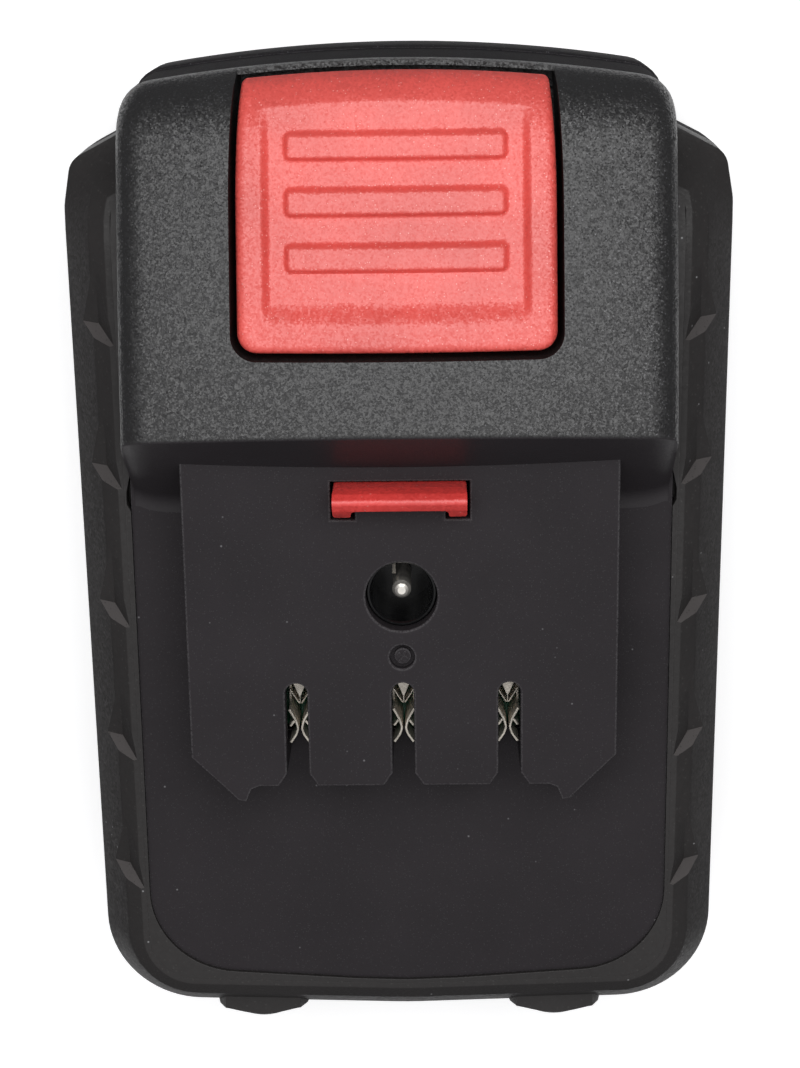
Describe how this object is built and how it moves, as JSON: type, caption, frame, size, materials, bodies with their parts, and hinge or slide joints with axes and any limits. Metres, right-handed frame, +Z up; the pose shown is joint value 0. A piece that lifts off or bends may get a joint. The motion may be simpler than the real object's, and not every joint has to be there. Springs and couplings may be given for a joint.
{
  "type": "power tool battery pack",
  "caption": "Slide-on battery pack for a cordless hand tool, with T-shaped rails, slotted blade contacts, a charge jack and a sprung red release button.",
  "frame": {"origin": "centre of the bounding box, on the flat base face", "axes": "+Z up, out of the base towards the rails; +Y towards the trailing end with the release button, -Y is the way the pack slides into a tool; X across the rails"},
  "size_m": [0.0748, 0.1179, 0.0425],
  "materials": {
    "housing": "fine mould grain",
    "grip": "matt",
    "latch": "fine grain",
    "spring": "drawn wire",
    "screw": "blackened",
    "cell_can": "plated",
    "sleeve": "shrink film",
    "ring": "fibre",
    "holder": "moulded",
    "paper": "fish paper",
    "strip": "nickel",
    "board": "solder mask",
    "contact": "tin plated",
    "jack": "moulded",
    "jack_metal": "plated",
    "component": "moulded"
  },
  "bodies": {
    "pack": {"lower_housing": "housing", "upper_housing": "housing", "side_grip": "grip", "housing_screws": "screw", "latch_spring_left": "spring", "latch_spring_right": "spring", "cell_1": "cell_can", "cell_2": "cell_can", "cell_3": "cell_can", "cell_4": "cell_can", "cell_5": "cell_can", "sleeve_1": "sleeve", "sleeve_2": "sleeve", "sleeve_3": "sleeve", "sleeve_4": "sleeve", "sleeve_5": "sleeve", "ring_1": "ring", "ring_2": "ring", "ring_3": "ring", "ring_4": "ring", "ring_5": "ring", "holder_left": "holder", "holder_right": "holder", "paper_left": "paper", "paper_right": "paper", "tab_positive": "strip", "tab_negative": "strip", "link_1_2": "strip", "link_2_3": "strip", "link_3_4": "strip", "link_4_5": "strip", "circuit_board": "board", "contact_negative": "contact", "contact_sense": "contact", "contact_positive": "contact", "jack_body": "jack", "jack_pin": "jack_metal", "jack_spring": "jack_metal", "transistor_left": "component", "transistor_right": "component", "protection_chip": "component", "sense_resistor": "component", "board_passives": "component", "thermistor": "component"},
    "latch": {"release_latch": "latch"}
  },
  "joints": [
    {"name": "latch_press", "type": "slide", "parent": "pack", "child": "latch", "axis": [0, 0, -1], "range_m": [0, 0.005], "stiffness_N_per_m": 800, "springref_m": -0.004, "deforming": ["latch_spring_left", "latch_spring_right"]}
  ]
}
